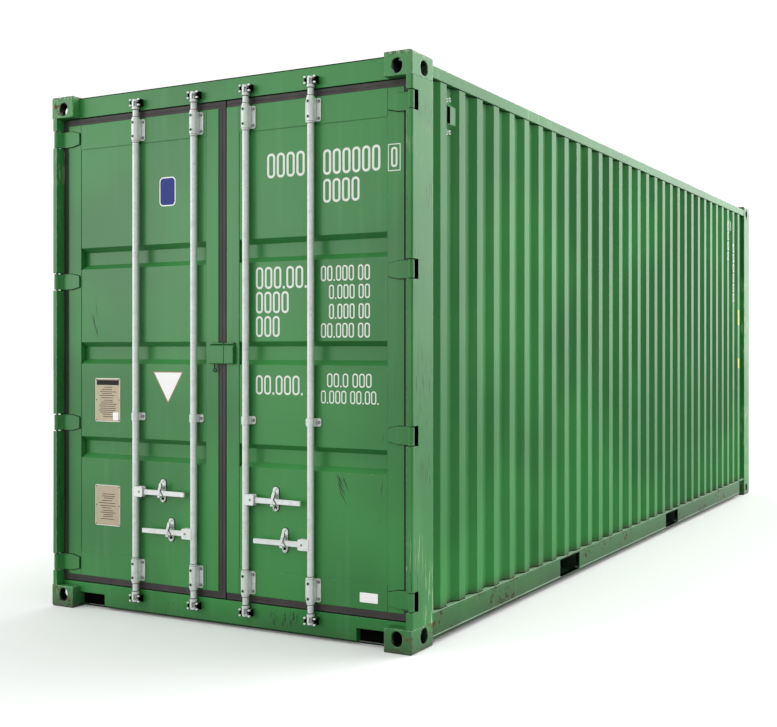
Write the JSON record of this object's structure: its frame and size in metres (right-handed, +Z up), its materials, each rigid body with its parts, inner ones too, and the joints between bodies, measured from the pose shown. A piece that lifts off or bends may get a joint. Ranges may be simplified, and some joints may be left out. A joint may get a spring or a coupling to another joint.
{
  "type": "shipping container",
  "caption": "Green high-cube steel freight container with corrugated walls, corner castings, fork pockets and swinging doors with lock bars.",
  "frame": {"origin": "centre of the footprint at ground level, the bottom face of the four bottom castings", "axes": "+Z up, +Y from the door end to the blind end along the length, +X to the right seen from the door end"},
  "size_m": [2.438, 6.058, 2.896],
  "materials": {
    "green_paint": "semi-gloss",
    "green_paint_worn": "satin, scuffed",
    "galvanised": "dull hot-dip zinc",
    "seal_rubber": "matt",
    "floor_plywood": "oiled",
    "underframe_paint": "matt wax coat"
  },
  "bodies": {
    "container": {"bottom_castings": "green_paint_worn", "top_castings": "green_paint_worn", "door_posts": "green_paint", "blind_end_posts": "green_paint", "door_header": "green_paint", "door_sill": "green_paint_worn", "blind_end_beams": "green_paint", "top_side_rails": "green_paint", "bottom_rail_angles": "green_paint_worn", "bottom_side_rails": "green_paint_worn", "side_wall_right": "green_paint", "side_wall_left": "green_paint", "blind_end_wall": "green_paint", "roof": "green_paint", "floor_boards": "floor_plywood", "cross_members": "underframe_paint", "fork_pockets": "underframe_paint", "cam_keepers": "green_paint", "ventilators": "green_paint"},
    "left_door": {"door_left_frame": "green_paint", "door_left_panel": "green_paint", "door_left_gasket": "seal_rubber", "door_left_hinges": "green_paint", "door_left_bearings": "galvanised", "door_left_catches": "galvanised", "door_left_seal_plate": "green_paint"},
    "right_door": {"door_right_frame": "green_paint", "door_right_panel": "green_paint", "door_right_gasket": "seal_rubber", "door_right_hinges": "green_paint", "door_right_bearings": "galvanised", "door_right_catches": "galvanised", "door_right_seal_plate": "green_paint"},
    "bar_1": {"lock_bar_1": "galvanised", "handle_hub_1": "galvanised"},
    "lever_1": {"handle_1": "galvanised"},
    "bar_2": {"lock_bar_2": "galvanised", "handle_hub_2": "galvanised"},
    "lever_2": {"handle_2": "galvanised"},
    "bar_3": {"lock_bar_3": "galvanised", "handle_hub_3": "galvanised"},
    "lever_3": {"handle_3": "galvanised"},
    "bar_4": {"lock_bar_4": "galvanised", "handle_hub_4": "galvanised"},
    "lever_4": {"handle_4": "galvanised"}
  },
  "joints": [
    {"name": "right_door_hinge", "type": "hinge", "parent": "container", "child": "right_door", "pos_m": [1.202, -3.012, 1.45], "axis": [0, 0, 1], "range_deg": [0, 265]},
    {"name": "left_door_hinge", "type": "hinge", "parent": "container", "child": "left_door", "pos_m": [-1.202, -3.012, 1.45], "axis": [0, 0, -1], "range_deg": [0, 265]},
    {"name": "lock_bar_1_turn", "type": "hinge", "parent": "left_door", "child": "bar_1", "pos_m": [-0.598, -3.006, 1.45], "axis": [0, 0, 1], "range_deg": [-110, 0]},
    {"name": "handle_1_lift", "type": "hinge", "parent": "bar_1", "child": "lever_1", "pos_m": [-0.554, -3.012, 0.685], "axis": [0, 1, 0], "range_deg": [-25, 0]},
    {"name": "lock_bar_2_turn", "type": "hinge", "parent": "left_door", "child": "bar_2", "pos_m": [-0.178, -3.006, 1.45], "axis": [0, 0, -1], "range_deg": [-110, 0]},
    {"name": "handle_2_lift", "type": "hinge", "parent": "bar_2", "child": "lever_2", "pos_m": [-0.222, -3.012, 0.477], "axis": [0, -1, 0], "range_deg": [-25, 0]},
    {"name": "lock_bar_3_turn", "type": "hinge", "parent": "right_door", "child": "bar_3", "pos_m": [0.178, -3.006, 1.45], "axis": [0, 0, 1], "range_deg": [-110, 0]},
    {"name": "handle_3_lift", "type": "hinge", "parent": "bar_3", "child": "lever_3", "pos_m": [0.222, -3.012, 0.685], "axis": [0, 1, 0], "range_deg": [-25, 0]},
    {"name": "lock_bar_4_turn", "type": "hinge", "parent": "right_door", "child": "bar_4", "pos_m": [0.598, -3.006, 1.45], "axis": [0, 0, -1], "range_deg": [-110, 0]},
    {"name": "handle_4_lift", "type": "hinge", "parent": "bar_4", "child": "lever_4", "pos_m": [0.554, -3.012, 0.477], "axis": [0, -1, 0], "range_deg": [-25, 0]}
  ]
}
